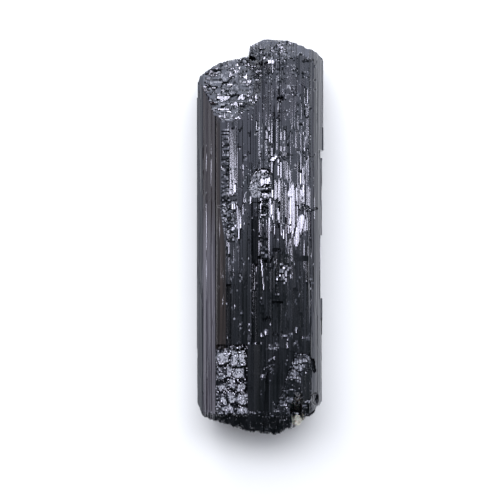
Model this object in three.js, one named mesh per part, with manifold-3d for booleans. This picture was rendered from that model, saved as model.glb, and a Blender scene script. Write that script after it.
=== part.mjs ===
// A black tourmaline (schorl) crystal, 105 mm long, with one small grain of pale feldspar grown into its
// broken base. The crystal is a bundle of parallel growth columns that share one long axis, so it is one
// solid: long striated sides, a lower and a taller termination, and a rough convex base where it broke
// away from its rock. It can't stand on either end, so it lies on its flattest side.
//
// Millimetres. +Y runs along the growth axis from the broken base to the terminations, +X is to the right
// when the best side faces up, and +Z is up. The origin is on the resting face, under the middle of the
// crystal.
import * as THREE from "three";
import { mergeVertices } from "three/addons/utils/BufferGeometryUtils.js";
import Module from "manifold-3d";

const wasm = await Module();
wasm.setup();

// Driving dimensions.
const LENGTH = 105;
const WIDTH = 32.8;
const DEPTH = 25.6;
const TIP = LENGTH / 2;
const SIDE = WIDTH / 2;
const CUTTER = 4 * LENGTH; // a cutting block large enough to pass right through the crystal
const GRAIN_GAP = 0.3;

// The growth columns. Each is a flat-topped polygon: its centre, its half widths across the flats, its
// number of sides, and how far along the axis it runs.
const WHOLE = { from: -TIP, to: TIP };
const LEDGE = -28.9; // the left front columns snapped off here, above the cobbled patch
const LEFT_COLUMNS = [
  { x: -9.0, z: 11.9, halfX: 7.4, halfZ: 7.7, sides: 12, ...WHOLE }, // smooth left wall
  { x: -8.2, z: 6.8, halfX: 6.6, halfZ: 6.8, sides: 8, ...WHOLE }, // back left
  { x: -0.8, z: 6.4, halfX: 5.0, halfZ: 6.4, sides: 8, ...WHOLE }, // back middle
  { x: -10.2, z: 12.6, halfX: 1.8, halfZ: 7.9, sides: 6, from: LEDGE, to: TIP }, // brown strip
  { x: -6.9, z: 14.2, halfX: 1.1, halfZ: 7.6, sides: 6, from: -9.5, to: TIP }, // bright blade
  { x: -5.2, z: 13.4, halfX: 2.4, halfZ: 7.9, sides: 8, from: LEDGE, to: TIP },
  { x: -3.0, z: 13.6, halfX: 1.3, halfZ: 8.5, sides: 6, ...WHOLE }, // sharp ridge left of the groove
  { x: -5.6, z: 11.8, halfX: 3.4, halfZ: 8.0, sides: 10, ...WHOLE },
];
const RIGHT_COLUMNS = [
  { x: 0.2, z: 10.5, halfX: 3.1, halfZ: 10.5, sides: 12, ...WHOLE }, // core, under the long groove
  { x: 1.5, z: 14.8, halfX: 2.1, halfZ: 8.4, sides: 8, ...WHOLE },
  { x: 4.6, z: 14.2, halfX: 2.7, halfZ: 10.2, sides: 10, ...WHOLE },
  { x: 8.0, z: 13.6, halfX: 3.2, halfZ: 12.0, sides: 12, ...WHOLE }, // crest of the taller block
  { x: 10.9, z: 12.2, halfX: 5.5, halfZ: 10.6, sides: 12, ...WHOLE }, // right wall
  { x: 7.8, z: 7.0, halfX: 7.6, halfZ: 7.0, sides: 8, ...WHOLE }, // back right
];

// A three.js geometry as a manifold-3d solid.
function solidOf(geometry) {
  const bare = geometry.index ? geometry.toNonIndexed() : geometry;
  bare.deleteAttribute("normal");
  bare.deleteAttribute("uv");
  const merged = mergeVertices(bare, 1e-4);
  return new wasm.Manifold(
    new wasm.Mesh({
      numProp: 3,
      vertProperties: merged.attributes.position.array,
      triVerts: new Uint32Array(merged.index.array),
    }),
  );
}

// A manifold-3d solid as a three.js geometry.
function geometryOf(solid) {
  const mesh = solid.getMesh();
  const geometry = new THREE.BufferGeometry();
  geometry.setAttribute("position", new THREE.BufferAttribute(mesh.vertProperties, 3));
  geometry.setIndex(new THREE.BufferAttribute(mesh.triVerts, 1));
  geometry.computeVertexNormals();
  return geometry;
}

function join(solids) {
  return solids.reduce((all, one) => all.add(one));
}

// One growth column, drawn across the axis and extruded along it.
function column({ x, z, halfX, halfZ, sides, from, to }) {
  const reach = 1 / Math.cos(Math.PI / sides);
  const corners = Array.from({ length: sides }, (_, i) => {
    const turn = ((i + 0.5) * 2 * Math.PI) / sides + Math.PI / 2;
    return new THREE.Vector2(
      x + halfX * reach * Math.cos(turn),
      z + halfZ * reach * Math.sin(turn),
    );
  });
  const prism = new THREE.ExtrudeGeometry(new THREE.Shape(corners), {
    depth: to - from,
    bevelEnabled: false,
  });
  prism.rotateX(Math.PI / 2);
  prism.translate(0, to, 0);
  return solidOf(prism);
}

// A cutting block that takes away everything on the outer side of the plane through a point.
function beyond(point, normal) {
  const block = new THREE.BoxGeometry(CUTTER, CUTTER, CUTTER);
  block.translate(0, 0, CUTTER / 2);
  const out = new THREE.Vector3(...normal).normalize();
  const turn = new THREE.Quaternion().setFromUnitVectors(new THREE.Vector3(0, 0, 1), out);
  block.applyQuaternion(turn);
  block.translate(...point);
  return solidOf(block);
}

// A box-shaped scar where a splinter has come away, given by its lowest and highest corners.
function scar(low, high) {
  const size = high.map((value, i) => value - low[i]);
  const middle = high.map((value, i) => (value + low[i]) / 2);
  const block = new THREE.BoxGeometry(...size);
  block.translate(...middle);
  return solidOf(block);
}

// Terminations. The left group ends in a steep pitted face and a low sloping top; the right group is
// taller, bevelled in front and stepped down towards the right.
const LEFT_TOP = [
  beyond([-8.6, 30.6, 20.8], [-0.3, 0.5, 0.8]),
  beyond([-14, 44.4, 10], [-0.69, 1, 0.06]),
  beyond([-7, 47.3, 10], [-0.18, 1, 0.1]),
];
const RIGHT_TOP = [
  beyond([6, 46, DEPTH], [0, 0.55, 0.84]),
  beyond([-0.8, 51.7, 12], [-0.48, 1, 0.05]),
  beyond([4.5, 52.4, 12], [0.1, 1, 0.06]),
  beyond([11, 50.6, 12], [0.36, 1, 0.05]),
  beyond([15.3, 48.7, 12], [1.05, 1, 0]),
];

// The base broke away unevenly: a blunt dome of fracture planes, lowest right of the middle.
const BASE = [
  beyond([-15.8, -46.2, 12], [-2.6, -1, 0.1]),
  beyond([-12, -48.8, 11], [-0.32, -1, 0.1]),
  beyond([-2, -51.9, 11], [-0.12, -1, 0.05]),
  beyond([10, -48.3, 11], [0.76, -1, 0.08]),
  beyond([0, -47.5, 22], [0.04, -1, 0.45]),
  beyond([0, -50, 0], [0, -1, -0.4]),
];

// Splinters that have come off the sides.
const SCARS = [
  scar([SIDE - 0.35, -TIP, -1], [SIDE + 1, 22.9, DEPTH]), // right wall, below a small ledge
  scar([SIDE - 1.0, 20.9, -1], [SIDE + 1, 22.9, DEPTH]), // notch under that ledge
  scar([SIDE - 0.9, -16, -1], [SIDE + 1, 0.6, DEPTH]),
  scar([-11.7, -TIP, 19.2], [-3.9, LEDGE, DEPTH]), // the cobbled patch
  scar([2.6, -TIP, 21.6], [11.4, -31, DEPTH + 1]), // hollow beside the diagonal ledge
];

// The feldspar grain: a small rough crystal, half sunk in the broken base at its right front corner.
const GRAIN_PLACE = [10.0, -47.6, 15.4];
function grainBlock(grow) {
  const block = new THREE.DodecahedronGeometry(1 + grow, 0);
  block.scale(1.3, 1.9, 1.7);
  block.rotateZ(-0.5);
  block.translate(...GRAIN_PLACE);
  return solidOf(block);
}

const left = LEFT_TOP.reduce((group, cut) => group.subtract(cut), join(LEFT_COLUMNS.map(column)));
const right = RIGHT_TOP.reduce((group, cut) => group.subtract(cut), join(RIGHT_COLUMNS.map(column)));
const broken = [...BASE, ...SCARS].reduce((body, cut) => body.subtract(cut), left.add(right));
const crystal = broken.subtract(grainBlock(GRAIN_GAP));

const specimen = new THREE.Group();
specimen.name = "tourmaline_crystal_specimen";

const schorl = new THREE.Mesh(
  geometryOf(crystal),
  new THREE.MeshStandardMaterial({ color: "#16161a", roughness: 0.28, metalness: 0 }),
);
schorl.name = "tourmaline_crystal";
specimen.add(schorl);

const feldspar = new THREE.Mesh(
  geometryOf(grainBlock(0)),
  new THREE.MeshStandardMaterial({ color: "#b9b8aa", roughness: 0.5, metalness: 0 }),
);
feldspar.name = "feldspar_grain";
specimen.add(feldspar);

export default specimen;
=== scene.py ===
import math

import bmesh
import bpy
import numpy as np
from mathutils import Euler, Matrix, Vector


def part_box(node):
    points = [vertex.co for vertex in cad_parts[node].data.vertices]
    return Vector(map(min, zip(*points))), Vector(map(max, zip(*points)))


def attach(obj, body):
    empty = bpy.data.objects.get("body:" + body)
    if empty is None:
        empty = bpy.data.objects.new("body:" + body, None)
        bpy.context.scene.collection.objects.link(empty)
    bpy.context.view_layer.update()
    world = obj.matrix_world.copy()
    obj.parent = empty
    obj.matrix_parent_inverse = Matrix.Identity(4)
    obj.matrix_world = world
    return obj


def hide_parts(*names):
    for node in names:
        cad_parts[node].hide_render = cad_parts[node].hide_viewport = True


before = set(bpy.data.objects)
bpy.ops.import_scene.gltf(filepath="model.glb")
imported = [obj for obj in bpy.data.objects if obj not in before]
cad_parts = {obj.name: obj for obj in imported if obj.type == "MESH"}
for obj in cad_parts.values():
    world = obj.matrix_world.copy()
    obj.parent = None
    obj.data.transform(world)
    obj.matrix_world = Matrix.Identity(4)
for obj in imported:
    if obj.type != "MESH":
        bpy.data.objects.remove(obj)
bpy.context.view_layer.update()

# ---- Tourmaline crystal --------------------------------------------------------------------------
# Schorl, the black tourmaline. It grew as a bundle of parallel columns that share one long axis, so its
# sides are striated from end to end. Both ends and the base broke unevenly, into hackly glinting steps.
# Sizes are in millimetres, from the middle of the crystal and up from the face it rests on.
MM = 0.001
crystal_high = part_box("tourmaline_crystal")[1]
TIP = crystal_high.y / MM
schorl = bpy.data.materials.new("schorl")


def solid(points, faces):
    """A loose closed body from corners in millimetres."""
    mesh = bpy.data.meshes.new("solid")
    mesh.from_pydata([Vector(p) * MM for p in points], [], faces)
    work = bmesh.new()
    work.from_mesh(mesh)
    bmesh.ops.recalc_face_normals(work, faces=work.faces)
    work.to_mesh(mesh)
    work.free()
    body = bpy.data.objects.new("solid", mesh)
    bpy.context.scene.collection.objects.link(body)
    return body


def block(place, size, turn=(0, 0, 0)):
    """A box-shaped body, turned by degrees about its own middle."""
    body = bpy.data.objects.new("block", bpy.data.meshes.new("block"))
    bpy.context.scene.collection.objects.link(body)
    work = bmesh.new()
    angles = Euler([math.radians(a) for a in turn])
    move = Matrix.Translation(Vector(place) * MM) @ angles.to_matrix().to_4x4()
    shape = Matrix.Diagonal((size[0] * MM, size[1] * MM, size[2] * MM, 1))
    bmesh.ops.create_cube(work, size=1.0, matrix=move @ shape)
    work.to_mesh(body.data)
    work.free()
    return body


def settle(body):
    """Turns a body and its modifiers into a plain mesh."""
    shown = body.evaluated_get(bpy.context.evaluated_depsgraph_get())
    mesh = bpy.data.meshes.new_from_object(shown)
    body.modifiers.clear()
    body.data = mesh


def combine(body, others, operation):
    """Joins loose bodies to one, or cuts them out of it, and takes them away."""
    group = bpy.data.collections.new("others")
    for other in others:
        bpy.context.scene.collection.objects.unlink(other)
        group.objects.link(other)
    step = body.modifiers.new("combine", "BOOLEAN")
    step.operation = operation
    step.operand_type = "COLLECTION"
    step.collection = group
    step.solver = "MANIFOLD"
    settle(body)
    for other in others:
        bpy.data.objects.remove(other)
    bpy.data.collections.remove(group)


def tree(name, **inputs):
    """An empty node tree for a modifier, with named inputs."""
    group = bpy.data.node_groups.new(name, "GeometryNodeTree")
    group.interface.new_socket("Geometry", in_out="INPUT", socket_type="NodeSocketGeometry")
    for label, value in inputs.items():
        kind = {int: "NodeSocketInt", float: "NodeSocketFloat", tuple: "NodeSocketVector"}[type(value)]
        group.interface.new_socket(label, in_out="INPUT", socket_type=kind).default_value = value
    group.interface.new_socket("Geometry", in_out="OUTPUT", socket_type="NodeSocketGeometry")
    return group


def add(group, kind, links=None, settings=None, **values):
    """Adds a node. links feeds its inputs from other nodes' outputs, settings are its properties, and the
    rest are input values."""
    node = group.nodes.new(kind)
    for key, value in (settings or {}).items():
        setattr(node, key, value)
    for key, value in values.items():
        node.inputs[key.replace("_", " ")].default_value = value
    for key, source in (links or {}).items():
        for one in source if isinstance(source, list) else [source]:
            group.links.new(one, node.inputs[key])
    return node


def chance(group, low, high, seed):
    """A random number for each instance."""
    node = add(group, "FunctionNodeRandomValue", Seed=seed)
    node.inputs[2].default_value = low
    node.inputs[3].default_value = high
    return node.outputs[1]


def maths(group, operation, a, b):
    """One step of arithmetic on outputs or plain numbers."""
    node = group.nodes.new("ShaderNodeMath")
    node.operation = operation
    for socket, value in zip(node.inputs, (a, b)):
        if isinstance(value, (int, float)):
            socket.default_value = value
        else:
            group.links.new(value, socket)
    return node.outputs[0]


def keep_inside(group, given, points):
    """Keeps the points that lie inside the box between the inputs From and To."""
    place = add(group, "GeometryNodeInputPosition")
    here = add(group, "ShaderNodeSeparateXYZ", {0: place.outputs[0]})
    low = add(group, "ShaderNodeSeparateXYZ", {0: given.outputs["From"]})
    high = add(group, "ShaderNodeSeparateXYZ", {0: given.outputs["To"]})
    outside = 0.0
    for axis in "XYZ":
        for a, b in ((here, low), (high, here)):
            past = maths(group, "LESS_THAN", a.outputs[axis], b.outputs[axis])
            outside = maths(group, "ADD", outside, past)
    return add(
        group,
        "GeometryNodeDeleteGeometry",
        {"Geometry": points, "Selection": outside},
        {"domain": "POINT"},
    ).outputs[0]


def close(group, geometry):
    """Ends a tree with real geometry in the crystal's material."""
    real = add(group, "GeometryNodeRealizeInstances", {"Geometry": geometry})
    coated = add(group, "GeometryNodeSetMaterial", {"Geometry": real.outputs[0]}, Material=schorl)
    add(group, "NodeGroupOutput", {"Geometry": coated.outputs[0]})
    return group


LONG_SIDE_LEAN = 0.1


def splinter_tree():
    """Scatters splinters over the long sides of a body and joins them to it."""
    group = tree(
        "growth splinters",
        From=(-1.0, -1.0, -1.0),
        To=(1.0, 1.0, 1.0),
        Density=30000.0,
        Width=0.0011,
        Length=0.02,
        Height=0.0007,
        Twist=0.1,
        Seed=4,
    )
    given = add(group, "NodeGroupInput")
    normal = add(group, "GeometryNodeInputNormal")
    parts = add(group, "ShaderNodeSeparateXYZ", {0: normal.outputs[0]})
    lean = maths(group, "ABSOLUTE", parts.outputs["Y"], 0.0)
    side = maths(group, "LESS_THAN", lean, LONG_SIDE_LEAN)
    scattered = add(
        group,
        "GeometryNodeDistributePointsOnFaces",
        {
            "Mesh": given.outputs["Geometry"],
            "Density": maths(group, "MULTIPLY", given.outputs["Density"], side),
            "Seed": given.outputs["Seed"],
        },
    )
    upright = add(
        group,
        "GeometryNodeStoreNamedAttribute",
        {"Geometry": scattered.outputs["Points"], "Value": scattered.outputs["Normal"]},
        {"data_type": "FLOAT_VECTOR", "domain": "POINT"},
        Name="facing",
    )
    points = keep_inside(group, given, upright.outputs[0])
    facing = add(
        group,
        "GeometryNodeInputNamedAttribute",
        None,
        {"data_type": "FLOAT_VECTOR"},
        Name="facing",
    )
    rod = add(group, "GeometryNodeMeshCylinder", Vertices=6, Radius=0.5, Depth=1.0)
    along = add(
        group, "GeometryNodeTransform", {"Geometry": rod.outputs["Mesh"]}, Rotation=(math.pi / 2, 0, 0)
    )
    face = add(
        group,
        "FunctionNodeAlignRotationToVector",
        {"Vector": facing.outputs[0]},
        {"axis": "Z", "pivot_axis": "Y"},
    )
    turn = maths(group, "MULTIPLY", given.outputs["Twist"], chance(group, -1.0, 1.0, 11))
    twist = add(group, "ShaderNodeCombineXYZ", {"Y": turn})
    turned = add(
        group,
        "FunctionNodeRotateRotation",
        {"Rotation": face.outputs[0], "Rotate By": twist.outputs[0]},
        {"rotation_space": "LOCAL"},
    )
    size = add(
        group,
        "ShaderNodeCombineXYZ",
        {
            "X": maths(group, "MULTIPLY", given.outputs["Width"], chance(group, 0.4, 1.9, 1)),
            "Y": maths(group, "MULTIPLY", given.outputs["Length"], chance(group, 0.2, 2.2, 2)),
            "Z": maths(group, "MULTIPLY", given.outputs["Height"], chance(group, 0.4, 1.6, 3)),
        },
    )
    rods = add(
        group,
        "GeometryNodeInstanceOnPoints",
        {
            "Points": points,
            "Instance": along.outputs["Geometry"],
            "Rotation": turned.outputs[0],
            "Scale": size.outputs[0],
        },
    )
    whole = add(
        group,
        "GeometryNodeMeshBoolean",
        {"Mesh 2": [given.outputs["Geometry"], rods.outputs["Instances"]]},
        {"operation": "UNION", "solver": "MANIFOLD"},
    )
    return close(group, whole.outputs["Mesh"])


def nick_tree():
    """Cuts small crooked chips out of the surface inside a box."""
    group = tree(
        "nicks",
        From=(0.0, 0.0, 0.0),
        To=(1.0, 1.0, 1.0),
        Density=1e6,
        Size=0.0008,
        Crooked=0.25,
        Seed=1,
    )
    given = add(group, "NodeGroupInput")
    points = add(
        group,
        "GeometryNodeDistributePointsOnFaces",
        {
            "Mesh": given.outputs["Geometry"],
            "Density": given.outputs["Density"],
            "Seed": given.outputs["Seed"],
        },
    )
    kept = keep_inside(group, given, points.outputs["Points"])
    crooked = {
        axis: maths(group, "MULTIPLY", given.outputs["Crooked"], chance(group, -1.0, 1.0, 21 + i))
        for i, axis in enumerate("XY")
    }
    turn = add(group, "ShaderNodeCombineXYZ", {**crooked, "Z": chance(group, -1.5, 1.5, 24)})
    sizes = {
        axis: maths(group, "MULTIPLY", given.outputs["Size"], chance(group, 0.35, 1.6, 31 + i))
        for i, axis in enumerate("XYZ")
    }
    size = add(group, "ShaderNodeCombineXYZ", sizes)
    shape = add(group, "GeometryNodeMeshIcoSphere", Radius=0.5, Subdivisions=2)
    chips = add(
        group,
        "GeometryNodeInstanceOnPoints",
        {
            "Points": kept,
            "Instance": shape.outputs["Mesh"],
            "Rotation": turn.outputs[0],
            "Scale": size.outputs[0],
        },
    )
    whole = add(
        group,
        "GeometryNodeMeshBoolean",
        {"Mesh 1": given.outputs["Geometry"], "Mesh 2": chips.outputs[0]},
        {"operation": "DIFFERENCE", "solver": "MANIFOLD"},
    )
    return close(group, whole.outputs["Mesh"])


def run(body, group, **values):
    """Runs a tree on a body and keeps the result as its mesh."""
    step = body.modifiers.new(group.name, "NODES")
    step.node_group = group
    for item in group.interface.items_tree:
        if item.in_out == "INPUT" and item.name in values:
            step[item.identifier] = values[item.name]
    settle(body)


# The body starts from the part's own solid. A fatter copy trims what is joined to it, and a deeper one
# gives the reliefs enough stone to cut into.
FATTER = (1.018, 1.0, 1.2, 1.0)
DEEPER = (0.985, 1.0, 1.6, 1.0)
WELD = 1e-6
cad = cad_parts["tourmaline_crystal"]
merged = bmesh.new()
merged.from_mesh(cad.data)
bmesh.ops.remove_doubles(merged, verts=merged.verts, dist=WELD)
crystal = bpy.data.objects.new("crystal", bpy.data.meshes.new("crystal"))
trim = bpy.data.objects.new("trim", bpy.data.meshes.new("trim"))
deep = bpy.data.objects.new("deep", bpy.data.meshes.new("deep"))
for copy in (crystal, trim, deep):
    merged.to_mesh(copy.data)
    bpy.context.scene.collection.objects.link(copy)
merged.free()
deep.data.transform(Matrix.Diagonal(DEEPER))
trim.data.transform(Matrix.Diagonal(FATTER))

splinters = splinter_tree()
nicks = nick_tree()


PER_CM2 = 1e4


def mm(*values):
    """Millimetres as metres."""
    return tuple(v * MM for v in values)


def grow(low, high, density, width, length, height, twist, seed):
    """Joins splinters to the long sides inside a box. Density is for each square centimetre."""
    run(
        crystal,
        splinters,
        From=mm(*low),
        To=mm(*high),
        Density=density * PER_CM2,
        Width=width * MM,
        Length=length * MM,
        Height=height * MM,
        Twist=math.radians(twist),
        Seed=seed,
    )


def nick(low, high, density, size, crooked, seed):
    """Cuts chips out of the surface inside a box. Density is for each square centimetre."""
    run(
        crystal,
        nicks,
        From=mm(*low),
        To=mm(*high),
        Density=density * PER_CM2,
        Size=size * MM,
        Crooked=crooked,
        Seed=seed,
    )


SIDE = crystal_high.x / MM + 1
SIDES_TOP = 17
SIDES = ((-SIDE, -TIP - 1, -1), (SIDE, TIP + 1, SIDES_TOP))


# The front is a relief, as heights on a grid: fine across the columns, and closer along them where the
# crystal is broken. The arch is its shape across: a steep fluted left wall, a flat strip, a low left group,
# a higher right group and a steep right wall.
GRID_ACROSS = 0.16
across = np.arange(-17.2, 17.3, GRID_ACROSS)
along = np.concatenate(
    [
        np.arange(-53.7, -28.8, 0.3),
        np.arange(-28.8, 0.0, 0.5),
        np.arange(0.0, 20.0, 0.28),
        np.arange(20.0, 30.0, 0.42),
        np.arange(30.0, 53.8, 0.3),
    ]
)
x, y = np.meshgrid(across, along)
ARCH = np.array(
    [
        (-17.2, 12.6), (-16.3, 14.1), (-15.3, 15.6), (-15.1, 15.7), (-14.2, 16.8), (-14.0, 16.85),
        (-13.0, 17.95), (-12.8, 18.0), (-11.9, 19.05), (-11.65, 19.6), (-11.4, 20.2), (-9.0, 20.75),
        (-8.0, 21.2), (-6.0, 21.7), (-4.0, 22.0), (-2.2, 22.3), (-0.4, 22.6), (1.5, 23.3),
        (3.0, 24.1), (4.5, 24.8), (6.0, 25.1), (8.0, 25.3), (10.0, 25.2), (11.5, 24.9),
        (13.0, 24.2), (14.2, 23.0), (15.4, 21.0), (16.3, 18.8), (17.3, 15.5),
    ]
)
top = np.interp(x, ARCH[:, 0], ARCH[:, 1])


def patch(low_x, high_x, low_y, high_y):
    """The part of the grid inside a rectangle."""
    i0, i1 = np.searchsorted(across, (low_x, high_x))
    j0, j1 = np.searchsorted(along, (low_y, high_y))
    return slice(j0, j1), slice(i0, i1)


def inside(outline, jog=0.0):
    """Which grid points lie inside an outline. It can jog along the columns."""
    hit = np.zeros(x.shape, bool)
    there = y + jog
    for (x0, y0), (x1, y1) in zip(outline, outline[1:] + outline[:1]):
        slope = (x1 - x0) / ((y1 - y0) or 1.0)
        hit ^= ((y0 > there) != (y1 > there)) & (x < x0 + slope * (there - y0))
    return hit


def striate(low_x, high_x, low_y, high_y, width, length, step, lean, seed, flat=0.0, tilt=0.0, ragged=0.5):
    """Lays columns side by side and end to end. Each stands a little higher or lower than its neighbours,
    by about step, its top leans by about lean, and its ends are ragged. Flat ones lose the slope of the
    arch below."""
    draw = np.random.default_rng(seed)
    edge = low_x
    while edge < high_x:
        wide = width * draw.uniform(0.4, 1.7)
        strip = patch(edge, min(edge + wide, high_x), low_y, high_y)
        edge += wide
        if x[strip].size == 0:
            continue
        count = int(2 * (high_y - low_y) / length) + 4
        ends = low_y - length * draw.random() + np.cumsum(length * draw.uniform(0.3, 1.8, count))
        fray = draw.normal(0, ragged, x[strip].shape[1])
        number = np.minimum(np.searchsorted(ends, y[strip] + fray), count - 1)
        rise, slope = draw.normal(0, step, count), draw.normal(tilt, lean, count)
        climb = draw.normal(0, 0.002, count)
        here = top[strip]
        top[strip] = here + flat * (here.mean(axis=1, keepdims=True) - here) + rise[number]
        top[strip] += slope[number] * (x[strip] - x[strip].mean())
        top[strip] += climb[number] * (y[strip] - ends[number] + length / 2)


# Which slope flashes depends on where the lamp and the eye are, and changes evenly over the crystal.
LAMP_SPREAD = 3.516
LAMP_X, LAMP_Y = 31.3, 28.7
LAMP_FALL = 2350


def facing(at_x, at_y):
    """The slopes at which a facet mirrors the key lamp to the eye, seen from straight above."""
    return (LAMP_SPREAD * at_x - LAMP_X) / LAMP_FALL, (LAMP_SPREAD * at_y - LAMP_Y) / LAMP_FALL


def facet(where, lift, slope_x, slope_y):
    """Lays one flat facet over part of the relief."""
    middle_x, middle_y = x[where].mean(), y[where].mean()
    level = top[where].mean() + lift
    top[where] = level + slope_x * (x[where] - middle_x) + slope_y * (y[where] - middle_y)


def glint(where, lift=0.1, off_x=0.0, off_y=0.0):
    """A facet that flashes, or nearly so where it is turned off a little."""
    if x[where].size:
        slope_x, slope_y = facing(x[where].mean(), y[where].mean())
        facet(where, lift, slope_x + off_x, slope_y + off_y)


def crush(where, wide, long, depth, spread, seed, treads=0.0, stray=0.03):
    """Breaks part of the relief into small flat facets that tilt at random. A share of them are treads,
    which lie nearly level and flash, the more so the less they stray."""
    draw = np.random.default_rng(seed)
    here_x, here_y, here = x[where].ravel(), y[where].ravel(), top[where].ravel()
    grid_x = np.arange(here_x.min() - wide, here_x.max() + 2 * wide, wide)
    grid_y = np.arange(here_y.min() - long, here_y.max() + 2 * long, long)
    seed_x, seed_y = (g.ravel() for g in np.meshgrid(grid_x, grid_y))
    seed_x = seed_x + draw.uniform(-0.5, 0.5, seed_x.size) * wide
    seed_y = seed_y + draw.uniform(-0.5, 0.5, seed_y.size) * long
    distance = ((here_x[:, None] - seed_x) / wide) ** 2 + ((here_y[:, None] - seed_y) / long) ** 2
    which = distance.argmin(axis=1)
    away_x, away_y = here_x - seed_x[which], here_y - seed_y[which]
    tilt_x, tilt_y = draw.normal(0, spread, (2, seed_x.size))
    broken = here + tilt_x[which] * away_x + tilt_y[which] * away_y
    held = np.maximum(np.bincount(which, minlength=seed_x.size), 1)
    level = np.bincount(which, here, seed_x.size) / held
    aim_x, aim_y = facing(seed_x, seed_y) + draw.normal(0, stray, (2, seed_x.size))
    tread = level[which] + aim_x[which] * away_x + aim_y[which] * away_y
    chosen = draw.random(seed_x.size) < treads
    result = np.where(chosen[which], tread, broken) + draw.normal(0, depth, seed_x.size)[which]
    top[where] = result.reshape(top[where].shape)


def blob(at_x, at_y, half_x, half_y):
    """The grid points inside a small uneven spot."""
    turn = np.arctan2(y - at_y, x - at_x)
    reach = 1 + 0.25 * np.sin(3 * turn + 7 * at_x) + 0.15 * np.sin(5 * turn + 9 * at_y)
    return np.hypot((x - at_x) / half_x, (y - at_y) / half_y) < reach


def dent(at_x, at_y, half_x, half_y, depth):
    """A shell-shaped chip."""
    away = ((x - at_x) / half_x) ** 2 + ((y - at_y) / half_y) ** 2
    top[:] -= depth * np.sqrt(np.clip(1 - away, 0, 1))


def away_from(points):
    """How far each grid point is from an uneven line."""
    away = np.full(x.shape, 99.0)
    bent = y + 0.13 * np.sin(4.1 * x + 1.7 * y) + 0.08 * np.sin(9.3 * x)
    for (x0, y0), (x1, y1) in zip(points, points[1:]):
        run_x, run_y = x1 - x0, y1 - y0
        share = np.clip(((x - x0) * run_x + (bent - y0) * run_y) / (run_x**2 + run_y**2), 0, 1)
        away = np.minimum(away, np.hypot(x - x0 - share * run_x, bent - y0 - share * run_y))
    return away


def near(points, width):
    """The grid points along an uneven line."""
    return away_from(points) < width * (0.5 + 0.2 * np.sin(2.7 * x + 3.1 * y))


def crack(points, width, depth):
    """A crack along a line of points."""
    top[near(points, width)] -= depth


def area(low_x, high_x, low_y, high_y):
    """The grid points inside a rectangle."""
    return (x >= low_x) & (x < high_x) & (y >= low_y) & (y < high_y)


sheaf_draw = np.random.default_rng(40)


def sheaf(where, lift=0.12, off_x=0.0, off_y=0.0, fray=0.12, uneven=0.004):
    """A bundle of bright hair-thin columns with ragged ends."""
    first = np.where(where, y, 99.0).min(axis=0)
    last = np.where(where, y, -99.0).max(axis=0)
    first = first + (last - first) * sheaf_draw.exponential(fray, len(across))
    last = last - (last - first) * sheaf_draw.exponential(fray, len(across))
    chosen = where & (y >= first) & (y <= last)
    if not chosen.any():
        return
    middle_x, middle_y = x[chosen].mean(), y[chosen].mean()
    slope_x, slope_y = facing(middle_x, middle_y)
    level = top[chosen].mean() + lift
    plane = level + (slope_x + off_x) * (x - middle_x) + (slope_y + off_y) * (y - middle_y)
    top[chosen] = (plane + sheaf_draw.normal(0, uneven, len(across)))[chosen]


# Growth columns, from broad to fine. The left group leans, so it stays darker than the right group.
END = TIP + 1.2
striate(-0.4, 13.2, -END, END, 2.4, 26, 0.16, 0.03, 1, flat=1.0)
striate(-9.0, -0.4, -END, END, 1.8, 40, 0.16, 0.03, 2, flat=1.0, tilt=0.16)
striate(-9.0, -0.4, -END, END, 0.9, 30, 0.10, 0.04, 9)
striate(-0.4, 13.2, -END, END, 0.9, 30, 0.10, 0.05, 3, flat=0.6)
striate(1.0, 13.2, 10, END, 1.2, 6, 0.06, 0.04, 4, flat=0.6)
striate(-9.0, 14.0, -END, END, 0.4, 16, 0.05, 0.06, 5)
striate(-16.4, -11.4, -END, END, 0.9, 30, 0.05, 0.06, 6, ragged=2.0)
striate(-16.4, -11.4, -END, END, 0.35, 14, 0.02, 0.05, 31, ragged=1.0)
striate(13.2, 16.4, -END, END, 0.9, 20, 0.08, 0.07, 7, ragged=2.0)
striate(13.2, 16.4, -END, END, 0.35, 9, 0.03, 0.08, 32, ragged=1.0)
striate(14.2, 16.4, -END, END, 0.5, 14, 0.03, 0.2, 42, ragged=2.0)
striate(-16.4, -13.0, -END, END, 0.5, 25, 0.02, 0.12, 43, ragged=2.0)

# Narrow grooves part the broad columns of the two walls.
for at_x, width, depth in (
    (-15.1, 0.16, 0.12), (-14.1, 0.16, 0.12), (-12.9, 0.16, 0.12), (-11.75, 0.25, 0.5),
    (13.3, 0.16, 0.15), (15.2, 0.16, 0.15),
):
    top[patch(at_x - width / 2, at_x + width / 2, -END, END)] -= depth

# Lower down the right group and the foot of the ridge fall away towards the base, so they stay dark.
lower = (x > -0.5) & (x < 13.2)
past = np.clip(1.5 * np.sin(2.1 * x) + np.sin(5.3 * x) - 1 - y, 0, None)
top[lower] -= 0.03 * np.where(past < 10, past**2 / 20, past - 5)[lower]
lower = (x > -9.0) & (x < -3.4) & (y < -9)
top[lower] += 0.02 * (y[lower] + 9)
foot = (x > -3.4) & (x < 0.5) & (y < -28)
top[foot] += 0.03 * (y[foot] + 28)

# The brown strip is flat, and ends in a sharp edge over a recess.
strip = inside([(-11.4, -29.5), (-9.0, -29.5), (-9.0, -2.0), (-9.6, 3.0), (-10.6, 8.5), (-11.4, 8.5)])
facet(strip, 0.15, 0.1, 0.0)
striate(-11.3, -9.1, -29.0, 8.0, 0.5, 14, 0.02, 0.03, 37, ragged=1.0)
top[patch(-9.0, -7.6, -28.9, -12.5)] -= 1.6

# One column between the two groups leans to the left.
leaning = patch(-0.8, 0.6, 18.4, 29.0)
top[leaning] += 0.06 * x[leaning]

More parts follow.
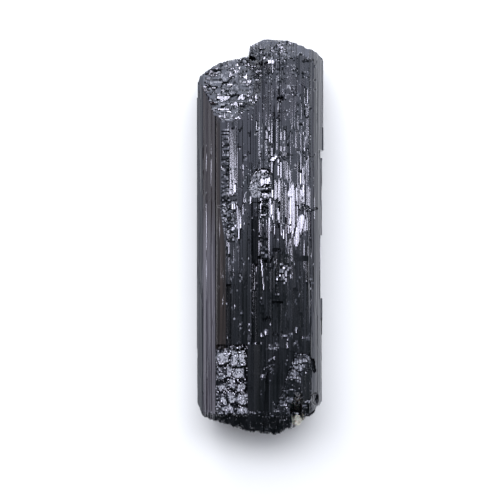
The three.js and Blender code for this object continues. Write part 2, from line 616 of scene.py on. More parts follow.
# The ladder band, its bright left edge, the flecked patch below it and the blade at its right.
crush(patch(-10.3, -8.2, 7.0, 28.5), 1.4, 0.8, 0.035, 0.06, 11, treads=0.08)
sheaf(area(-10.35, -10.1, 20.0, 28.0), 0.3, fray=0.2)
flecked = inside([(-10.2, 10.0), (-6.1, 9.5), (-6.0, -1.2), (-8.6, -1.2)])
crush(flecked, 0.9, 0.8, 0.07, 0.12, 12, treads=0.2)
sheaf(area(-8.2, -6.3, 10.8, 30.0), 0.5, off_x=0.02, off_y=-0.03, fray=0.03, uneven=0.001)
sheaf(area(-8.3, -8.1, 10.5, 20.5), 0.1, fray=0.1)
sheaf(area(-7.7, -6.45, 14.0, 19.0), 0.03, off_y=-0.014, fray=0.25, uneven=0.001)
sheaf(area(-7.2, -6.4, 11.2, 15.8), 0.03, fray=0.1, uneven=0.001)
crack([(-10.3, 9.7), (-8.4, 9.5), (-6.1, 9.9)], 0.22, 0.35)
glint(patch(-7.7, -6.5, 7.4, 9.2), 0.2, off_y=-0.02)

# The ridge and the long groove at its right.
top[patch(-2.7, -2.3, -END, 20)] += 0.3
sheaf(area(-2.75, -2.2, 8.3, 11.7), 0.3)
sheaf(area(-6.2, -5.0, -1.0, 9.0), 0.1, off_x=0.05, off_y=-0.02, fray=0.15)
sheaf(area(-4.9, -4.1, 1.0, 9.5), 0.1, off_x=0.05, off_y=-0.02, fray=0.15)
groove = patch(-2.1, -0.5, -END, 9.5)
top[groove] -= 1.3 * np.clip((9.5 - y[groove]) / 16, 0.25, 1)
facet(patch(-2.0, -0.6, -END, -28), 0.0, 0.05, 0.0)
striate(-3.4, 0.5, -END, -28, 1.3, 60, 0.15, 0.08, 8, flat=1.0)

# Bright lines of the right group.
sheaf(area(0.75, 1.0, 30.0, 38.0), 0.3)
sheaf(area(1.25, 1.5, 27.5, 38.0), 0.3)
sheaf(area(1.45, 2.1, 25.6, 29.8), 0.25)
glint(inside([(2.4, 20.4), (3.6, 20.1), (4.8, 21.4), (4.6, 22.0), (3.0, 21.3)]), 0.1)
sheaf(area(2.25, 2.5, 43.0, 46.4), 0.2)
sheaf(area(3.2, 3.45, 43.0, 46.4), 0.2)
sheaf(area(11.75, 12.0, 34.2, 40.4), 0.15, off_x=0.035)
sheaf(area(12.5, 12.75, 34.2, 40.4), 0.15, off_x=0.035)

# The shell-shaped chip, its bright facet, and the ripples below it.
chip = inside(
    [
        (-3.0, 13.4), (-2.2, 16.2), (-1.2, 17.9), (0.8, 18.3), (2.6, 18.0), (3.0, 16.4), (2.9, 10.6),
        (-2.0, 10.4),
    ]
)
top[chip] = (22.6 - 0.2 * (y - 10.4) + 0.04 * x)[chip]
crush(chip, 1.3, 1.1, 0.05, 0.06, 33)
crush(chip, 0.6, 0.6, 0.02, 0.05, 13, treads=0.12)
glint(inside([(-0.4, 18.0), (0.4, 18.2), (1.8, 18.0), (1.9, 17.4), (0.6, 17.3)]), 0.1)
flash = inside(
    [
        (-0.1, 15.4), (0.5, 15.9), (1.0, 15.6), (2.7, 16.1), (2.8, 14.9), (1.9, 14.0), (1.0, 14.1),
        (0.2, 13.4),
    ]
)
glint(flash, 0.2)
top[inside([(-0.6, 13.2), (2.9, 13.6), (2.9, 8.5), (2.0, 5.2), (-0.6, 5.0)])] -= 0.5
RUNGS = (
    ([(1.0, 12.5), (1.9, 12.9), (2.7, 13.0)], 0.4), ([(0.6, 11.2), (1.6, 11.7), (2.2, 11.3)], 0.9),
    ([(0.5, 8.1), (1.2, 8.6), (2.1, 8.8)], 0.5), ([(0.1, 5.8), (0.9, 6.1), (1.7, 6.0)], 0.5),
)
for points, width in RUNGS:
    glint(near(points, width), 0.35)
for points, width in (
    ([(0.5, 13.4), (1.6, 13.9), (2.8, 13.7)], 0.5), ([(0.6, 12.1), (1.8, 12.3), (2.7, 12.4)], 0.4),
    ([(0.0, 9.3), (0.9, 9.6), (2.0, 9.9)], 0.5), ([(0.0, 7.3), (1.0, 7.8), (2.2, 7.6)], 0.7),
    ([(-0.1, 6.7), (1.0, 6.9), (2.0, 6.7)], 0.4),
):
    crack(points, width, 0.8)

# Streaks of the bright zone.
STREAKS = (
    (3.8, 4.45, 8.9, 16.2), (4.6, 5.4, 8.9, 16.0), (5.45, 5.7, 4.5, 16.2), (2.35, 3.0, 5.2, 11.2),
    (9.5, 10.5, 8.0, 14.8), (3.1, 3.7, 4.0, 8.5), (4.6, 5.3, 3.0, 8.5), (5.8, 6.1, 2.5, 16.0),
    (6.2, 6.5, 2.5, 12.0), (2.9, 3.3, 5.7, 11.0), (2.3, 2.6, 5.2, 10.0), (7.1, 9.35, 0.7, 15.0),
    (7.55, 8.5, 3.0, 11.0), (3.5, 3.9, 3.5, 12.0), (6.7, 7.0, 4.0, 13.0),
    (9.5, 9.8, 3.0, 10.0), (10.4, 10.7, 7.0, 12.0), (9.9, 10.3, 11.3, 20.6), (10.8, 11.9, 8.1, 14.5),
    (12.4, 13.1, 7.3, 14.5), (12.3, 12.6, 1.0, 6.5), (12.8, 13.0, 1.0, 6.5), (4.3, 4.5, 2.5, 5.0),
    (4.8, 5.0, 2.5, 5.0), (2.7, 3.2, 1.0, 3.3), (3.0, 3.5, 8.5, 13.5), (5.4, 5.75, 0.2, 4.5),
    (3.7, 4.2, -0.5, 3.4), (6.1, 6.5, -1.0, 2.5), (13.2, 13.5, 6.5, 14.0), (14.3, 14.6, 4.0, 13.0),
)
for streak in STREAKS:
    sheaf(area(*streak), uneven=0.0025, fray=0.08)
lens = inside(
    [
        (10.6, 6.5), (11.9, 6.4), (11.8, 4.1), (11.0, 0.7), (10.2, -2.6), (9.5, -3.4), (8.8, -2.2),
        (9.0, 0.7), (9.8, 4.1),
    ]
)
sheaf(lens, 0.1, fray=0.03, uneven=0.002)
crack([(11.4, 8.4), (12.2, 6.9), (15.0, 7.6)], 0.5, 0.5)

# Cracks, pits and chips, most of them below the bright zone.
crack([(-0.4, -5.2), (0.5, -5.9), (1.9, -6.3), (2.9, -6.0), (3.4, -5.3)], 0.4, 1.2)
dent(4.4, -3.6, 1.2, 0.6, 1.3)
crush(patch(0.3, 1.9, -6.0, -2.5), 0.5, 0.6, 0.1, 0.16, 14, treads=0.3)
splintered = inside([(5.0, -7.2), (7.4, -6.8), (8.2, -8.5), (6.6, -12.0), (5.0, -11.0)])
crush(splintered, 0.8, 0.9, 0.18, 0.16, 15, treads=0.35)
glint(inside([(0.1, -5.8), (0.45, -5.8), (1.2, -13.8), (0.85, -13.8)]), 0.2)
for spot in (
    (1.5, -25.4, 0.35, 0.9), (0.4, -26.2, 0.25, 0.6), (6.7, -26.2, 0.6, 0.3), (7.4, -26.9, 0.35, 0.7),
    (7.3, -28.7, 0.3, 0.8), (9.6, -24.8, 0.25, 0.7), (-4.8, -20.2, 0.5, 0.35), (6.1, -7.9, 0.9, 0.5),
    (5.7, -9.2, 0.5, 0.4), (4.7, -11.0, 0.3, 0.5),
):
    glint(blob(*spot), 0.2)
crack([(3.3, -17.4), (6.0, -17.4)], 0.4, 0.9)
crack([(1.0, -21.7), (2.6, -21.7)], 0.6, 0.9)
crack([(2.8, -25.6), (6.0, -25.6)], 0.4, 0.7)
pit = blob(5.4, 36.7, 0.9, 0.65)
top[pit] -= 0.8
crush(pit, 0.5, 0.5, 0.25, 0.3, 44)
crush(area(4.7, 5.5, 30.0, 50.0), 0.5, 2.2, 0.03, 0.08, 45)
for at_x, at_y, size in (
    (14.5, 41.8, 0.4), (14.5, 39.2, 0.35), (13.5, 34.1, 0.3), (-5.4, 23.6, 0.45), (-5.4, 28.5, 0.4),
):
    dent(at_x, at_y, size, size * 0.8, 0.5)

# The diagonal ledge at the lower right, with a rough band above a smooth face.
hollow = inside(
    [
        (4.4, -29.0), (9.6, -30.5), (8.4, -35.0), (6.0, -41.0), (4.2, -46.0), (4.0, -END), (0.6, -END),
        (1.6, -37.0),
    ]
)
top[hollow] -= (1.0 * np.clip((-29.0 - y) / 10, 0, 1))[hollow]
band = inside(
    [
        (9.8, -30.7), (13.5, -30.7), (13.5, -32.5), (10.9, -35.7), (10.6, -44.2), (8.5, -45.3),
        (6.1, -46.0), (4.2, -45.3), (5.8, -41.3), (7.4, -35.7), (8.5, -33.1),
    ]
)
bent = y + 0.5 * np.sin(1.3 * x)
for low_y, high_y in ((-47.0, -43.2), (-43.2, -38.3), (-38.3, -35.2), (-35.2, -30.0)):
    terrace = band & (bent >= low_y) & (bent < high_y)
    top[terrace] += ((0.05 if low_y < -40 else -0.15) * (bent - (low_y + high_y) / 2) - 0.35)[terrace]
crush(band, 1.8, 1.5, 0.06, 0.05, 34)
crush(band, 0.7, 0.7, 0.02, 0.06, 16, treads=0.05)
scar = inside([(4.0, -31.5), (2.0, -33.0), (0.0, -37.3), (1.0, -37.8), (3.3, -36.0), (4.0, -33.0)])
crush(scar, 0.7, 0.7, 0.15, 0.2, 17, treads=0.12)
smooth_face = inside(
    [(11.9, -34.0), (13.6, -35.2), (13.9, -43.6), (11.6, -44.4), (10.9, -41.0), (10.9, -36.5)]
)
facet(smooth_face, 0.0, -0.1, -0.02)
striate(10.8, 14.2, -44.0, -34.0, 0.45, 12, 0.015, 0.04, 38, ragged=1.0)
top[inside([(13.4, -32.0), (14.4, -32.4), (14.9, -35.6), (14.3, -35.8), (13.7, -34.6)])] -= 1.2
dent(14.6, -42.7, 1.0, 1.6, 1.5)

# The left front columns snapped off at a ledge. Below it lie cobbles: blocky knobs with domed tops.
LEDGE = -28.7
COBBLE_FLOOR, COBBLE_BASE = 18.7, 18.6
COBBLE_LEFT, COBBLE_RIGHT, COBBLE_END = -11.6, -3.4, -47.2
floor_low = patch(COBBLE_LEFT, COBBLE_RIGHT, -END, LEDGE)
top[floor_low] = COBBLE_FLOOR - 0.02 * (x[floor_low] + 8)
COBBLES = (
    (-9.8, -31.9, 1.6, 1.7), (-6.7, -32.0, 1.0, 2.3), (-4.7, -32.0, 1.0, 2.3), (-5.6, -36.1, 1.7, 1.5),
    (-8.2, -35.8, 0.8, 1.5), (-10.4, -36.6, 0.9, 1.2), (-9.7, -39.9, 1.2, 0.9), (-5.1, -39.8, 1.2, 1.1),
    (-7.5, -38.9, 1.0, 1.4), (-4.7, -42.9, 1.5, 1.6), (-7.5, -42.4, 1.1, 1.5), (-9.6, -43.5, 0.8, 1.2),
    (-4.7, -46.0, 1.5, 1.2), (-8.4, -45.8, 1.6, 1.1), (-10.2, -46.6, 0.9, 0.7),
)
cobbled = patch(COBBLE_LEFT, COBBLE_RIGHT, COBBLE_END, LEDGE)
crush(cobbled, 0.8, 0.8, 0.1, 0.15, 23)
for number, (at_x, at_y, half_x, half_y) in enumerate(COBBLES):
    bent_x = (x - at_x + 0.2 * np.sin(1.9 * y + 2.4 * number)) / 1.2
    bent_y = (y - at_y + 0.2 * np.sin(2.3 * x + 1.3 * number)) / 1.2
    away = (np.abs(bent_x / half_x) ** 4 + np.abs(bent_y / half_y) ** 4) ** 2
    tall = 1.0 + 0.25 * math.sin(5.0 * number)
    dome = COBBLE_BASE + tall * np.sqrt(np.clip(1 - away, 0, 1)) - 0.22 * (y - at_y)
    top[:] = np.where(away < 1, np.maximum(top, dome), top)
crush(cobbled, 0.6, 0.6, 0.02, 0.08, 18, treads=0.28, stray=0.02)
top[patch(-11.3, -3.6, LEDGE - 1.3, LEDGE)] -= 1.1

# A small notch in the right wall.
top[area(15.5, 17.3, 21.0, 23.0)] -= 3.0

# The base broke away unevenly, and falls off towards its edge.
BASE_FALL = 0.5
RIM_HEIGHT = 9.0
past = np.maximum(-46.8 - y, 0.62 * x - 0.78 * y - 42.4)
base = past > 0
top[base] -= BASE_FALL * past[base]
crush(past > -0.8, 1.6, 1.4, 0.07, 0.08, 35)
crush(past > -0.8, 0.8, 0.8, 0.02, 0.08, 19)
rim_x = (-16.4, -15.2, -2.5, 4.3, 7.0, 11.5, 14.0, 15.6, 16.4)
rim_y = (-44.6, -47.8, -51.8, -52.5, -51.5, -49.0, -46.9, -44.8, -43.6)
teeth = np.random.default_rng(36)
knots = np.arange(-17.0, 17.5, 0.45)
bite = teeth.uniform(-0.2, 0.8, len(knots)) * np.interp(knots, (-4, 5), (0.5, 1.0))
tooth = np.interp(across, knots, bite)
top[y < np.interp(across, rim_x, rim_y) + tooth] = RIM_HEIGHT

# The feldspar grain sits in a narrow groove at the edge.
GROOVE_X, GROOVE_HALF_WIDTH = 9.9, 0.95
GROOVE_FLOOR, GROOVE_BACK, GROOVE_SIDE = 14.6, 1.7, 12.0
sideways = np.abs(x - GROOVE_X - 0.3 * np.sin(y)) - GROOVE_HALF_WIDTH
valley = GROOVE_FLOOR + GROOVE_BACK * np.clip(y + 46.3, 0, 99) + GROOVE_SIDE * np.clip(sideways, 0, 99)
chipped = valley < top
top[chipped] = valley[chipped]
crush(chipped & (y > -47.5), 0.7, 0.7, 0.2, 0.15, 39)

# The left group ends in a steep pitted face, the right group in a rough bevel.
jogs = np.random.default_rng(41).uniform(-0.7, 0.7, 60)
pitted = inside(
    [
        (-16.2, 41.8), (-14.1, 37.6), (-12.2, 32.8), (-9.8, 30.7), (-7.7, 30.7), (-5.0, 31.7),
        (-4.0, 34.1), (-1.6, 34.4), (-0.3, 37.6), (0.5, 42.6), (0.5, 46.0), (-0.6, 47.2), (-3.0, 47.9),
        (-3.2, 56.0), (-19.0, 56.0), (-19.0, 41.8),
    ],
    jogs[((across + 18) / 0.8).astype(int)] * (across > -3.5),
)
face = 20.8 + 0.3 * (x + 8.6) - 0.58 * (y - 30.6)
face += 1.0 * np.clip(x + 5, 0, 6) * np.clip((y - 39) / 9, 0, 1)
lip = away_from([(-4.0, 34.1), (-1.6, 34.4), (-0.3, 37.6), (0.5, 42.6), (0.5, 47.0)])
face += 1.3 * np.clip(1.8 - lip, 0, 2)
top[pitted] = np.minimum(top, face)[pitted]
crush(pitted, 2.6, 1.6, 0.22, 0.14, 20, treads=0.1)
crush(pitted, 1.1, 0.6, 0.05, 0.12, 21, treads=0.16, stray=0.02)
FLECKS = (
    (-9.8, 36.9, 1.7, 0.8), (-6.6, 35.4, 1.0, 0.6), (-9.4, 34.1, 1.7, 0.35), (-4.9, 37.2, 0.9, 0.8),
    (-3.3, 37.6, 0.5, 0.6), (-1.1, 37.5, 0.5, 0.7), (-3.8, 42.7, 0.6, 0.7), (-8.1, 40.6, 1.0, 0.4),
    (-9.8, 39.0, 0.4, 0.6), (-9.4, 32.1, 0.4, 0.7), (-5.8, 31.8, 0.8, 0.35), (-12.4, 39.8, 0.9, 0.35),
    (-13.0, 44.0, 0.5, 0.5), (-7.8, 43.3, 0.5, 0.8), (-2.8, 41.4, 0.7, 0.5), (-5.6, 45.0, 0.4, 0.4),
)
for fleck in FLECKS:
    glint(blob(*fleck), 0.0)
bevel_start = np.interp(x, (-3.0, 1.0, 8.5, 10.5, 15.5), (46.6, 46.6, 47.6, 49.0, 46.8))
bevel = (y > bevel_start) & ~pitted
top[bevel] -= (0.7 * (y - bevel_start) + 0.6 * np.clip(1.5 - x, 0, 5))[bevel]
crush(bevel & (x < 9), 0.8, 0.7, 0.16, 0.25, 22, treads=0.2)
top[patch(-0.2, 0.8, 45.8, 49.9)] -= 0.5
top[patch(1.3, 2.1, 43.1, 46.3)] -= 1.0
glint(patch(2.1, 3.7, 46.2, 47.3), 0.1)
crack([(11.3, 46.8), (15.2, 46.9)], 0.4, 0.3)

# Tiny flakes here and there.
FLAKES = 110
draw = np.random.default_rng(30)
for _ in range(FLAKES):
    at_x, at_y = draw.uniform(-9, 15), draw.uniform(-15, 50)
    flake = patch(at_x, at_x + draw.uniform(0.1, 0.4), at_y, at_y + draw.uniform(0.3, 0.9))
    if x[flake].size:
        facet(flake, draw.normal(0.05, 0.08), draw.normal(0, 0.15), draw.normal(-0.1, 0.15))


def relief_solid(surface, floor_height, axes=(0, 1, 2), signs=(1, 1, 1)):
    """Everything below a relief, down to a flat floor, as a closed body. The surface is a grid of points.
    Axes and signs turn the body once it is built."""
    rows, columns = surface.shape[:2]
    surface = surface.reshape(-1, 3)
    index = np.arange(rows * columns).reshape(rows, columns)
    corners = [index[:-1, :-1], index[:-1, 1:], index[1:, 1:], index[1:, :-1]]
    quads = np.stack(corners, axis=-1).reshape(-1, 4)
    rim = np.concatenate([index[0, :-1], index[:-1, -1], index[-1, :0:-1], index[:0:-1, 0]])
    lower = surface[rim].copy()
    lower[:, 2] = floor_height
    first = rows * columns
    below = first + np.arange(len(rim))
    after = np.roll(below, -1)
    skirt = np.stack([rim, below, after, np.roll(rim, -1)], axis=-1)
    centre = first + len(rim)
    fan = [(a, centre, b) for a, b in zip(below.tolist(), after.tolist())]
    points = np.concatenate([surface, lower, [(0, 0, floor_height)]])[:, axes] * signs
    return solid(points.tolist(), quads.tolist() + skirt.tolist() + fan)


# The relief narrows a little upwards, towards the eye.
EYE_X, EYE_Y, EYE_UP = -2.65, -3.3, 480
MID_HEIGHT = 12
UNDERSIDE = -3.0
narrow = 1 - (top - MID_HEIGHT) / EYE_UP
front_x = (x - EYE_X) * narrow + EYE_X
front_y = (y - EYE_Y) * narrow + EYE_Y
front = relief_solid(np.stack([front_x, front_y, top], axis=-1), UNDERSIDE)

# The two ends are reliefs too, seen along the axis: y now runs up from the floor, and top is how far the
# end reaches. Each broke in steps from column to column. The foot has a pocket for the grain.
END_GRID = 0.42
x, y = np.meshgrid(np.arange(-18.2, 18.3, END_GRID), np.arange(UNDERSIDE, 28.0, END_GRID))
END_X = (-16.4, -10.8, -3.0, -2.9, 1.3, 6.6, 14.8, 16.4)
END_Y = (42.7, 46.6, 48.0, 50.7, 52.6, 52.2, 49.2, 47.5)
tips = np.interp(x, END_X, END_Y) + 0.2 - 0.12 * np.clip(y - 11, 0, 9)
foot = -np.interp(x, rim_x, rim_y) - 0.9 * np.clip((13 - y) / 3, 0, 1) - 0.12 * np.clip(y - 14, 0, 9)
foot -= 1.5 * (np.hypot((x - 10) / 1.4, (y - 16.2) / 2.4) < 1)
ends = []
for sign, reach, seed in ((1, tips, 51), (-1, foot, 61)):
    top = reach - 0.25
    crush(..., 3.4, 3.8, 0.55, 0.1, seed)
    crush(..., 1.5, 2.2, 0.3, 0.2, seed + 1)
    crush(..., 0.8, 0.8, 0.08, 0.3, seed + 2)
    top = np.minimum(top, reach)
    ends.append(relief_solid(np.stack([x, y, top], axis=-1), -TIP - 3, (0, 2, 1), (1, sign, 1)))

# Blocks fill out the right corner of the base and most of the scars in the right wall, given as how far
# they reach and between which heights.
CORNER = ((15.9, 9.8, 14.6), (15.3, 7.5, 17.0), (14.7, 4.8, 19.6), (13.3, 3.4, 21.3), (12.1, 1.9, 22.5))
for side, low_z, high_z in CORNER:
    fill = block((side - 5, -47, (low_z + high_z) / 2), (10, 10.8, high_z - low_z))
    combine(deep, [fill], "UNION")
PATCHES = ((15.6, 8.7, 15.8), (15.3, 6.6, 17.9), (14.9, 5.0, 19.5), (15.5, 12.0, 21.0))
for body, over in ((crystal, 0.0), (trim, 0.3)):
    for side, low_z, high_z in PATCHES:
        fill = block((side + over - 3, 3, (low_z + high_z) / 2), (6, 46, high_z - low_z))
        combine(body, [fill], "UNION")

# Splinters and nicks cover the sides and the back. The reliefs then shape the front and the ends.
grow(*SIDES, 2.5, 1.3, 20, 0.5, 8, 4)
grow(*SIDES, 10, 0.5, 10, 0.3, 7, 7)
for middle_y, seed in ((21.5, 12), (0.5, 13), (-16.0, 14)):
    grow((14, middle_y - 3, 1), (SIDE, middle_y + 3, 18), 30, 0.8, 7, 0.6, 5, seed)
nick(*SIDES, 2.0, 0.9, 0.5, 9)
combine(crystal, [trim], "INTERSECT")
combine(crystal, [deep], "UNION")
for relief in [front, *ends]:
    combine(crystal, [relief], "INTERSECT")

# The cuts leave a few loose crumbs, which fall away. A crumb has fewer corners than this.
CRUMB = 1000
work = bmesh.new()
work.from_mesh(crystal.data)
found = set()
crumbs = []
for start in work.verts:
    if start in found:
        continue
    found.add(start)
    part, ahead = [], [start]
    while ahead:
        corner = ahead.pop()
        part.append(corner)
        for edge in corner.link_edges:
            other = edge.other_vert(corner)
            if other not in found:
                found.add(other)
                ahead.append(other)
    if len(part) < CRUMB:
        crumbs += part
bmesh.ops.delete(work, geom=crumbs, context="VERTS")
work.to_mesh(crystal.data)
work.free()

# Where the surface grew smooth and where it broke.
GROWN_LEAN = 0.12
grown = crystal.data.attributes.new("grown", "FLOAT", "FACE")
is_grown = [float(abs(side.normal.y) < GROWN_LEAN) for side in crystal.data.polygons]
grown.data.foreach_set("value", is_grown)

crystal.data.shade_flat()
crystal.data.polygons.foreach_set("material_index", [0] * len(crystal.data.polygons))


def linear(hex_colour):
    """An sRGB hex colour as linear red, green, blue and alpha."""
    parts = [int(hex_colour[i : i + 2], 16) / 255 for i in (1, 3, 5)]
    return [c / 12.92 if c <= 0.04045 else ((c + 0.055) / 1.055) ** 2.4 for c in parts] + [1.0]


def ramp(group, value, low, high, start=0.0, end=1.0):
    """Eases a value from start to end as it goes from low to high."""
    node = add(group, "ShaderNodeMapRange", {"Value": value}, {"interpolation_type": "SMOOTHSTEP"})
    for socket, number in zip(("From Min", "From Max", "To Min", "To Max"), (low, high, start, end)):
        node.inputs[socket].default_value = number
    return node.outputs[0]


def mixed(group, share, one, other):
    """Mixes two colours, each given as a hex value or an output."""
    node = add(group, "ShaderNodeMix", {0: share}, {"data_type": "RGBA"})
    for socket, colour in ((node.inputs[6], one), (node.inputs[7], other)):
        if isinstance(colour, str):
            socket.default_value = linear(colour)
        else:
            group.links.new(colour, socket)
    return node.outputs[2]


# Schorl has a glassy lustre, almost black. Long growth faces carry fine striations, broken ones a fine
# grain. The left wall has a painted reflection: warm brown on its upper part, and a lighter grey sheen,
# clouded at random, lower down. The flat strip carries a thin brown film.
schorl.use_nodes = True
look = schorl.node_tree
shader = look.nodes["Principled BSDF"]
place = add(look, "ShaderNodeTexCoord").outputs["Object"]
here = add(look, "ShaderNodeSeparateXYZ", {0: place})
smooth = add(look, "ShaderNodeAttribute", None, {"attribute_name": "grown"}).outputs["Fac"]


def pattern(width, length, detail=2.0):
    """Noise with features of a width and a length in millimetres."""
    stretch = add(look, "ShaderNodeMapping", {"Vector": place})
    stretch.inputs["Scale"].default_value = (1 / (width * MM), 1 / (length * MM), 1 / (width * MM))
    noise = add(look, "ShaderNodeTexNoise", {"Vector": stretch.outputs[0]}, Scale=1.0, Detail=detail)
    return noise.outputs[0]


STRIA_WIDTH, STRIA_LENGTH = 0.32, 70.0
GRAIN_WIDTH = 0.5
CLOUD_WIDTH, CLOUD_LENGTH = 2.0, 25.0
stria = add(
    look,
    "ShaderNodeBump",
    {"Height": pattern(STRIA_WIDTH, STRIA_LENGTH, 1.5), "Strength": ramp(look, smooth, 0.0, 1.0, 0.1, 0.5)},
    Distance=0.06 * MM,
)
grain = add(
    look,
    "ShaderNodeBump",
    {
        "Height": pattern(GRAIN_WIDTH, GRAIN_WIDTH, 4.0),
        "Strength": ramp(look, smooth, 0.0, 1.0, 0.4, 0.05),
        "Normal": stria.outputs[0],
    },
    Distance=0.05 * MM,
)
look.links.new(grain.outputs[0], shader.inputs["Normal"])
look.links.new(ramp(look, pattern(1.0, 25.0), 0.35, 0.7, 0.06, 0.14), shader.inputs["Roughness"])
cloud = pattern(CLOUD_WIDTH, CLOUD_LENGTH)
body_colour = mixed(look, ramp(look, cloud, 0.4, 0.6), "#0d1012", "#17191c")
wall = maths(look, "MULTIPLY", ramp(look, here.outputs["X"], -11.5 * MM, -11.9 * MM), smooth)
low_wall = ramp(look, here.outputs["Y"], 12 * MM, -6 * MM)
# Painted reflection on the left wall: warm brown above, a lighter grey sheen clouded at random below.
clouded_painted_sheen = mixed(look, ramp(look, pattern(0.8, 40.0), 0.4, 0.6), "#2d2a30", "#4b484e")
painted_wall_reflection = mixed(look, low_wall, "#1b1516", clouded_painted_sheen)
strip_edge = ramp(look, here.outputs["Y"], -4 * MM, 8 * MM, -9.0 * MM, -10.4 * MM)
beside = maths(look, "SUBTRACT", here.outputs["X"], strip_edge)
strip_left = ramp(look, here.outputs["X"], -11.7 * MM, -11.4 * MM)
in_strip = maths(look, "MULTIPLY", strip_left, ramp(look, beside, 0.1 * MM, -0.1 * MM))
in_strip = maths(look, "MULTIPLY", in_strip, ramp(look, here.outputs["Y"], 34 * MM, 28 * MM))
in_strip = maths(look, "MULTIPLY", in_strip, ramp(look, here.outputs["Y"], -29.4 * MM, -29.0 * MM))
rim = ramp(look, here.outputs["X"], -15.0 * MM, -15.2 * MM)
coloured = mixed(look, wall, body_colour, painted_wall_reflection)
coloured = mixed(look, rim, coloured, "#202226")
streaked = mixed(look, ramp(look, pattern(0.5, 30.0), 0.35, 0.65), "#1c1a1a", "#2c2726")
coloured = mixed(look, in_strip, coloured, streaked)
look.links.new(coloured, shader.inputs["Base Color"])
right_wall = ramp(look, here.outputs["X"], 13.2 * MM, 13.6 * MM, 0.0, 0.35)
left_wall = maths(look, "MULTIPLY", wall, ramp(look, low_wall, 0.0, 1.0, 0.6, 0.4))
dull = maths(look, "MAXIMUM", in_strip, maths(look, "MAXIMUM", left_wall, right_wall))
dull = maths(look, "MAXIMUM", dull, maths(look, "MULTIPLY", rim, 0.8))
dull = maths(look, "MAXIMUM", dull, ramp(look, here.outputs["Y"], -45.5 * MM, -47.5 * MM, 0.0, 0.7))
look.links.new(ramp(look, dull, 0.0, 1.0, 0.5, 0.15), shader.inputs["Specular IOR Level"])
shader.inputs["IOR"].default_value = 1.64
shader.inputs["Specular Tint"].default_value = linear("#e8eafc")
shader.inputs["Coat Weight"].default_value = 0.12
shader.inputs["Coat Roughness"].default_value = 0.2
shader.inputs["Coat IOR"].default_value = 1.6
crystal.data.materials.clear()
crystal.data.materials.append(schorl)
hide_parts("tourmaline_crystal")
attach(crystal, "root")

# ---- Feldspar grain -------------------------------------------------------------------------------
# A small pale grain of feldspar, grown into the broken base at its right front corner. Feldspar cleaves
# along two planes nearly at right angles, so its surface is a run of small steps.
grain_piece = block((9.95, -48.1, 15.4), (1.45, 2.1, 2.6), (6, 10, -28))
chips = [
    block((9.65, -47.6, 15.2), (1.3, 1.6, 2.2), (-8, 4, -16)),
    block((10.35, -48.6, 15.0), (1.0, 1.4, 2.1), (10, -6, -34)),
    block((9.55, -48.7, 15.6), (0.9, 1.2, 1.7), (14, 18, -20)),
]
combine(grain_piece, chips, "UNION")
grain_piece.name = "grain_of_feldspar"
work = bmesh.new()
work.from_mesh(grain_piece.data)
bmesh.ops.bevel(work, geom=work.edges, offset=0.07 * MM, segments=1, affect="EDGES", clamp_overlap=True)
bmesh.ops.triangulate(work, faces=work.faces)
bmesh.ops.recalc_face_normals(work, faces=work.faces)
work.to_mesh(grain_piece.data)
work.free()

# Feldspar is cream white and a little see-through, pearly on its cleavage steps and stained in its seams.
feldspar = bpy.data.materials.new("feldspar")
feldspar.use_nodes = True
look = feldspar.node_tree
shader = look.nodes["Principled BSDF"]
place = add(look, "ShaderNodeTexCoord").outputs["Object"]
stain = ramp(look, pattern(0.5, 0.7, 3.0), 0.42, 0.62)
look.links.new(mixed(look, stain, "#dddbd0", "#b0ad9e"), shader.inputs["Base Color"])
look.links.new(ramp(look, pattern(0.4, 0.4, 3.0), 0.3, 0.7, 0.3, 0.55), shader.inputs["Roughness"])
frosted = add(
    look,
    "ShaderNodeBump",
    {"Height": pattern(0.15, 0.15, 3.0)},
    Strength=0.4,
    Distance=0.04 * MM,
)
look.links.new(frosted.outputs[0], shader.inputs["Normal"])
shader.inputs["IOR"].default_value = 1.53
shader.inputs["Subsurface Weight"].default_value = 0.15
shader.inputs["Subsurface Scale"].default_value = 0.5 * MM
grain_piece.data.materials.clear()
grain_piece.data.materials.append(feldspar)
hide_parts("feldspar_grain")
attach(grain_piece, "root")

# ---- Studio ---------------------------------------------------------------------------------------
floor_mesh = bpy.data.meshes.new("floor")
floor_mesh.from_pydata([(-3, -3, 0), (3, -3, 0), (3, 3, 0), (-3, 3, 0)], [], [(0, 1, 2, 3)])
floor = bpy.data.objects.new("floor", floor_mesh)
bpy.context.scene.collection.objects.link(floor)
paper = bpy.data.materials.new("white_paper")
paper.use_nodes = True
paper.node_tree.nodes["Principled BSDF"].inputs["Base Color"].default_value = linear("#d9d9d9")
paper.node_tree.nodes["Principled BSDF"].inputs["Roughness"].default_value = 0.9
floor_mesh.materials.append(paper)

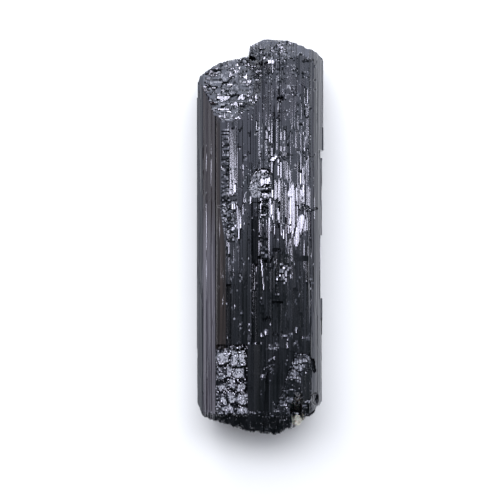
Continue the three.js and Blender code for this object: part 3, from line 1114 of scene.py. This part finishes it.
scene = bpy.context.scene
scene.view_settings.view_transform = "Standard"
world = bpy.data.worlds.new("studio")
scene.world = world
world.use_nodes = True
sky = world.node_tree
sky.nodes.clear()
where = add(sky, "ShaderNodeTexCoord")
parts = add(sky, "ShaderNodeSeparateXYZ", {0: where.outputs["Generated"]})
up = ramp(sky, parts.outputs["Y"], -0.03, 0.04, 0.05, 1.4)
steep = ramp(sky, parts.outputs["Z"], 0.9, 0.6, 0.0, 1.0)
behind = ramp(sky, parts.outputs["Y"], -0.5, 0.1, 0.05, 0.55)
low_sky = maths(sky, "MULTIPLY", steep, behind)
overhead = ramp(sky, parts.outputs["Y"], 0.12, 0.35, 0.0, 3.0)
light = maths(sky, "MAXIMUM", maths(sky, "MAXIMUM", up, overhead), low_sky)
back = add(sky, "ShaderNodeBackground", {"Strength": light}, Color=(0.86, 0.9, 1.0, 1.0))
add(sky, "ShaderNodeOutputWorld", {"Surface": back.outputs[0]})


def softbox(name, place, aim, width, height, radiance, colour="#ffffff"):
    """A rectangular lamp that faces a point, with its brightness given as radiance."""
    lamp = bpy.data.lights.new(name, "AREA")
    lamp.shape = "RECTANGLE"
    lamp.size = width
    lamp.size_y = height
    lamp.energy = radiance * math.pi * width * height
    lamp.color = linear(colour)[:3]
    box = bpy.data.objects.new(name, lamp)
    box.location = place
    box.rotation_euler = (Vector(aim) - Vector(place)).to_track_quat("-Z", "Y").to_euler()
    scene.collection.objects.link(box)


softbox("key", (0.038, 0.037, 1.2), (0.009, 0.008, 0.02), 0.18, 0.08, 34.0, "#f9f6fb")
softbox("top", (0.0, 0.42, 1.1), (0, 0, 0.02), 1.0, 0.42, 6.0)
softbox("window", (-0.3, 1.0, 0.54), (0, 0.03, 0.02), 0.4, 0.4, 6.0)

camera_data = bpy.data.cameras.new("camera")
camera = bpy.data.objects.new("camera", camera_data)
scene.collection.objects.link(camera)
scene.camera = camera
SHOWN_WIDTH = 0.1327
DISTANCE = 0.48
camera.location = (-0.00265, -0.0033, 0.012 + DISTANCE)
camera_data.sensor_width = 36.0
camera_data.lens = 36.0 * DISTANCE / SHOWN_WIDTH
